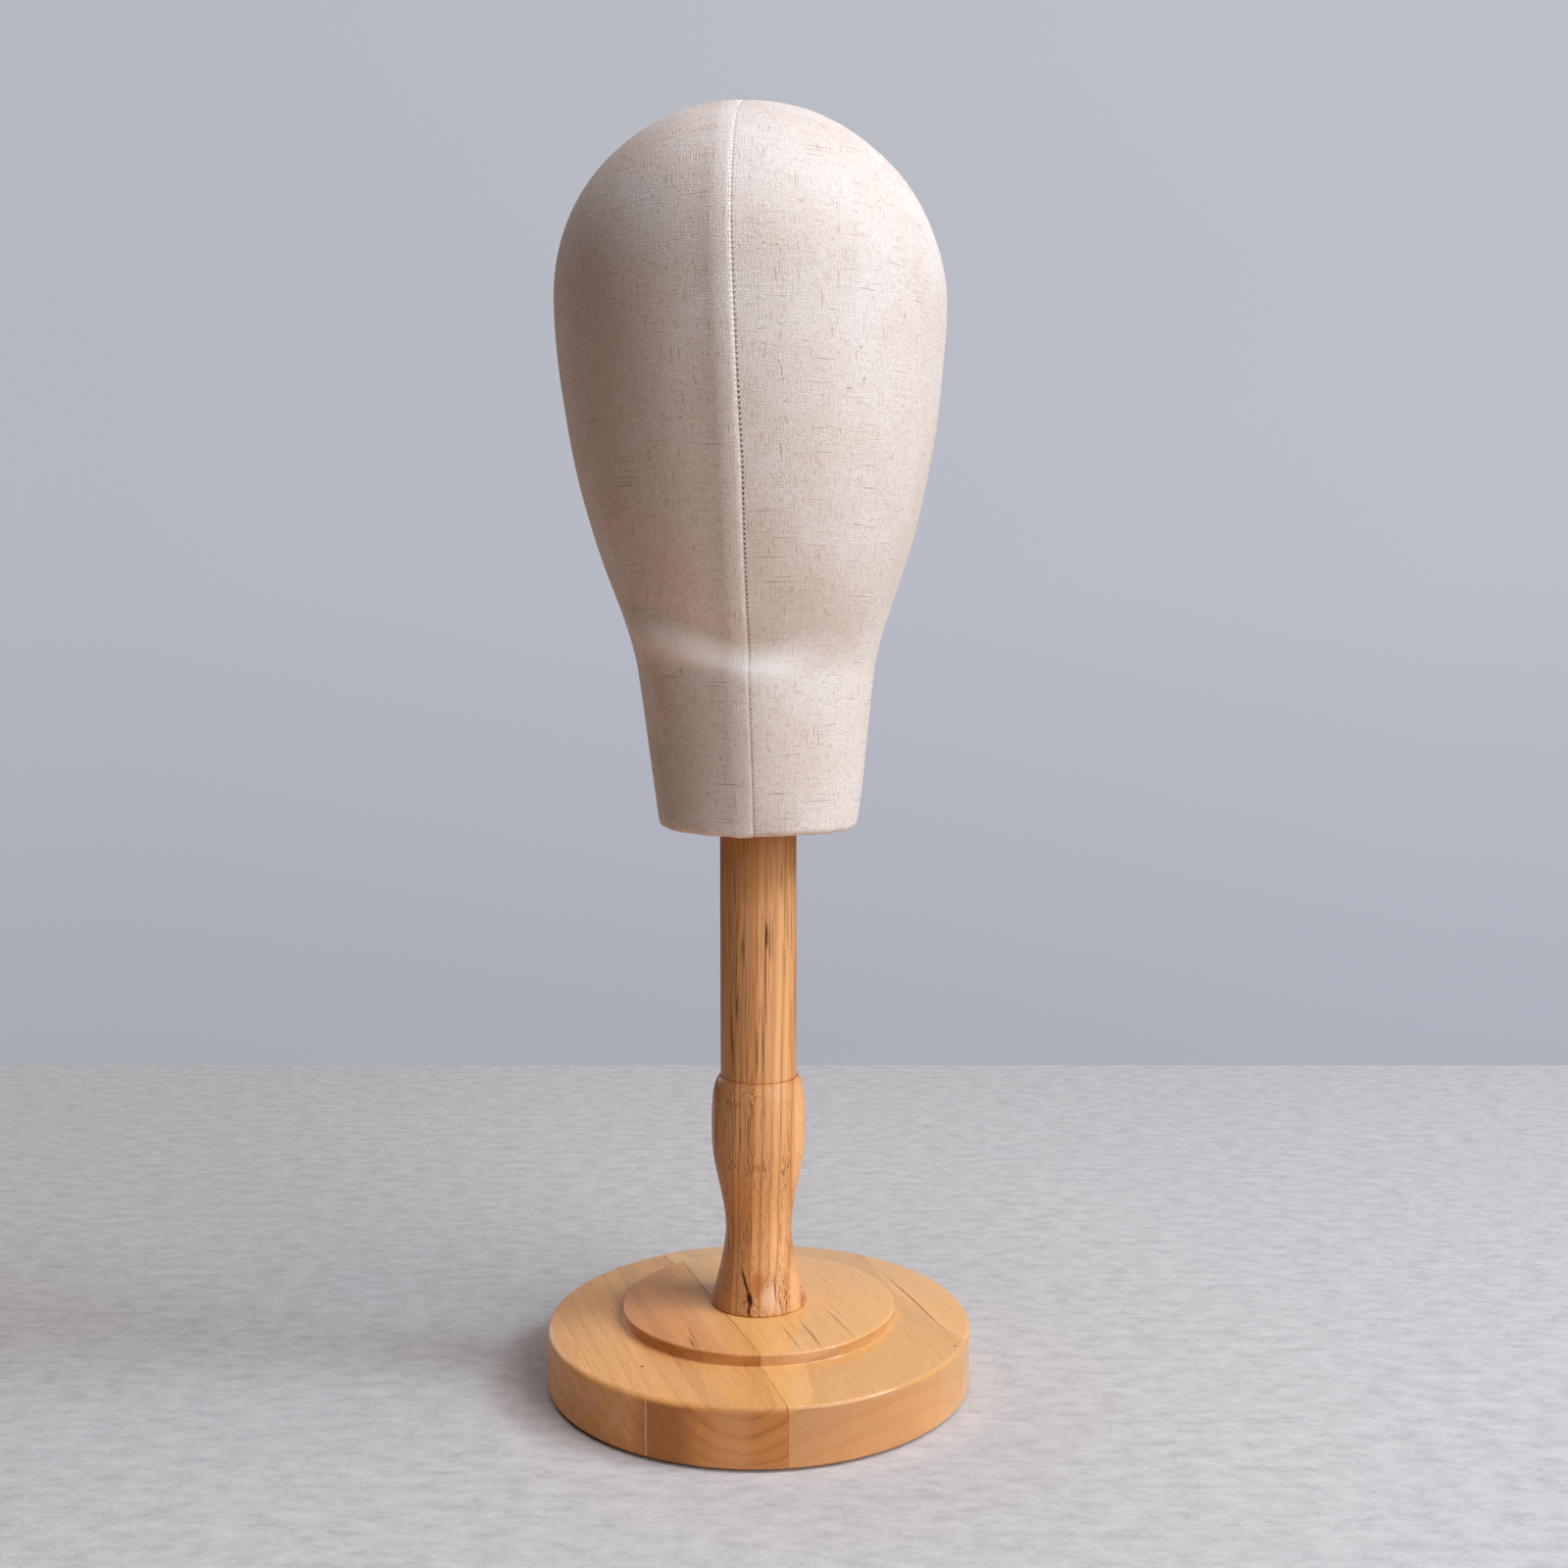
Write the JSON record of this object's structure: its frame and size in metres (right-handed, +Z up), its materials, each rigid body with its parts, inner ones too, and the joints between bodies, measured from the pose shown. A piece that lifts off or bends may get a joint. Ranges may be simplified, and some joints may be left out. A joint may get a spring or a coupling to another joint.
{
  "type": "wig stand",
  "caption": "Faceless linen-covered head block with a centre seam, which turns on and lifts off a turned wooden post standing on a round stepped wooden base.",
  "frame": {"origin": "centre of the felt's underside, which is the face the stand rests on and lies on the post's axis", "axes": "+Z up along the post, -Y the way the head's face side looks, +X towards the head's left temple"},
  "size_m": [0.18, 0.192, 0.5275],
  "materials": {
    "base_wood_left": "satin lacquer",
    "base_wood": "satin lacquer",
    "post_wood": "satin lacquer",
    "felt": "matte felt",
    "zinc_steel": "zinc plated",
    "insert_brass": "machined",
    "socket_plastic": "moulded",
    "cork_core": "granular",
    "plywood": "sawn and sanded",
    "linen": "plain woven, undyed",
    "thread": "twisted cotton"
  },
  "bodies": {
    "stand": {"base_board_left": "base_wood_left", "base_board_middle": "base_wood", "base_board_right": "base_wood", "base_felt": "felt", "base_bolt": "zinc_steel", "base_washer": "zinc_steel", "post_insert": "insert_brass", "post": "post_wood"},
    "socket": {"post_socket": "socket_plastic"},
    "head": {"head_core": "cork_core", "neck_plate": "plywood", "neck_screws": "zinc_steel", "linen_left": "linen", "linen_right": "linen", "seam_thread": "thread", "hem_staples": "zinc_steel"}
  },
  "joints": [
    {"name": "head_lift", "type": "slide", "parent": "stand", "child": "socket", "axis": [0, 0, 1], "range_m": [0, 0.1]},
    {"name": "head_swivel", "type": "hinge", "parent": "socket", "child": "head", "pos_m": [0, 0, 0.237], "axis": [0, 0, 1], "continuous": true}
  ]
}
